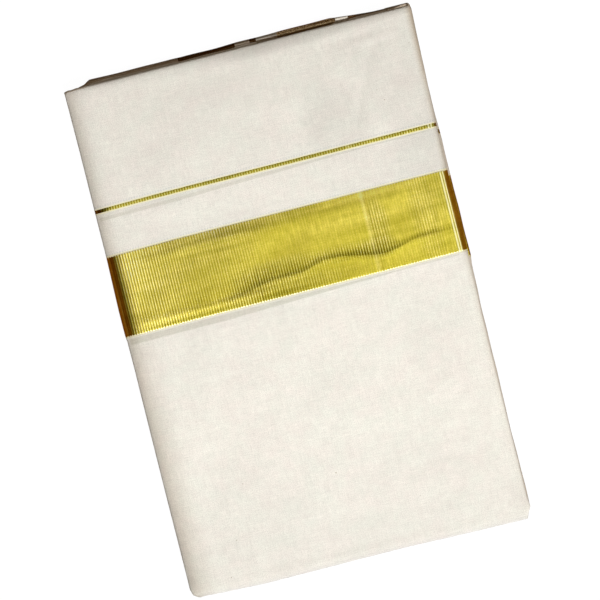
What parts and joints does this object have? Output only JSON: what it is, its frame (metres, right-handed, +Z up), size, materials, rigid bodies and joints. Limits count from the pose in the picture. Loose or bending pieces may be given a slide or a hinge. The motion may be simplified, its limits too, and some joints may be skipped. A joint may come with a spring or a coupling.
{
  "type": "folded dhoti cloth",
  "caption": "Off-white cotton dhoti with woven gold borders, folded into a flat packet that lies on its back panel.",
  "frame": {"origin": "on the surface the packet lies on, under the middle of its box", "axes": "+Z up from the surface, +Y towards the edge nearest the gold borders, +X towards the side where the thinner folds show"},
  "size_m": [0.2574, 0.3828, 0.0158],
  "materials": {
    "cotton": "off-white handloom cotton, plain weave, matt",
    "zari": "yellow-gold metallic thread, ribbed across the border, satin shine",
    "hidden_cotton": "the same cotton inside the folds, in shade"
  },
  "bodies": {
    "root": {"hidden_layers": "hidden_cotton", "outer_plain_top": "cotton", "outer_zari_line": "zari", "outer_plain_middle": "cotton", "outer_zari_band": "zari", "outer_plain_bottom": "cotton", "second_plain_top": "cotton", "second_zari_line": "zari", "second_plain_middle": "cotton", "second_zari_band": "zari", "second_plain_bottom": "cotton", "upper_inner_fold": "cotton", "lower_inner_plain_left": "cotton", "lower_inner_band_left": "zari", "lower_inner_gap_left": "cotton", "lower_inner_line_left": "zari", "lower_inner_plain_middle": "cotton", "lower_inner_band_right": "zari", "lower_inner_gap_right": "cotton", "lower_inner_line_right": "zari", "lower_inner_plain_right": "cotton"}
  },
  "joints": []
}
